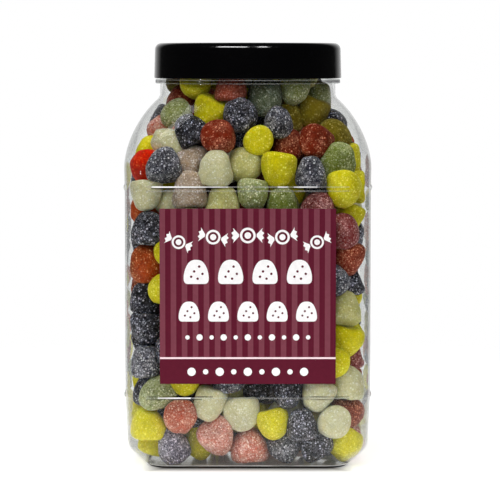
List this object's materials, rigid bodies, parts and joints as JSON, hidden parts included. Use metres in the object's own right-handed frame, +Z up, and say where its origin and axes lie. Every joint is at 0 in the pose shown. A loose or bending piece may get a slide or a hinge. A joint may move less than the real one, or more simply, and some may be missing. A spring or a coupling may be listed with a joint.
{
  "type": "jar of hard gums",
  "caption": "Clear square plastic jar with round shoulders and a black screw lid, filled to the neck with sugared hard gums, with a striped square label.",
  "frame": {"origin": "centre of the bottom of the jar, on the surface that it stands on", "axes": "+Z up along the jar, -Y out of the labelled side, +X to the right of the label"},
  "size_m": [0.15, 0.15, 0.257],
  "materials": {
    "clear_plastic": "clear, smooth and glossy",
    "black_plastic": "moulded black, glossy",
    "label_paper": "printed dark red with lighter stripes, satin",
    "sugared_gum": "coloured gum under a coat of fine sugar"
  },
  "bodies": {
    "root": {"jar": "clear_plastic", "lid": "black_plastic", "label": "label_paper", "gums": "sugared_gum"}
  },
  "joints": []
}
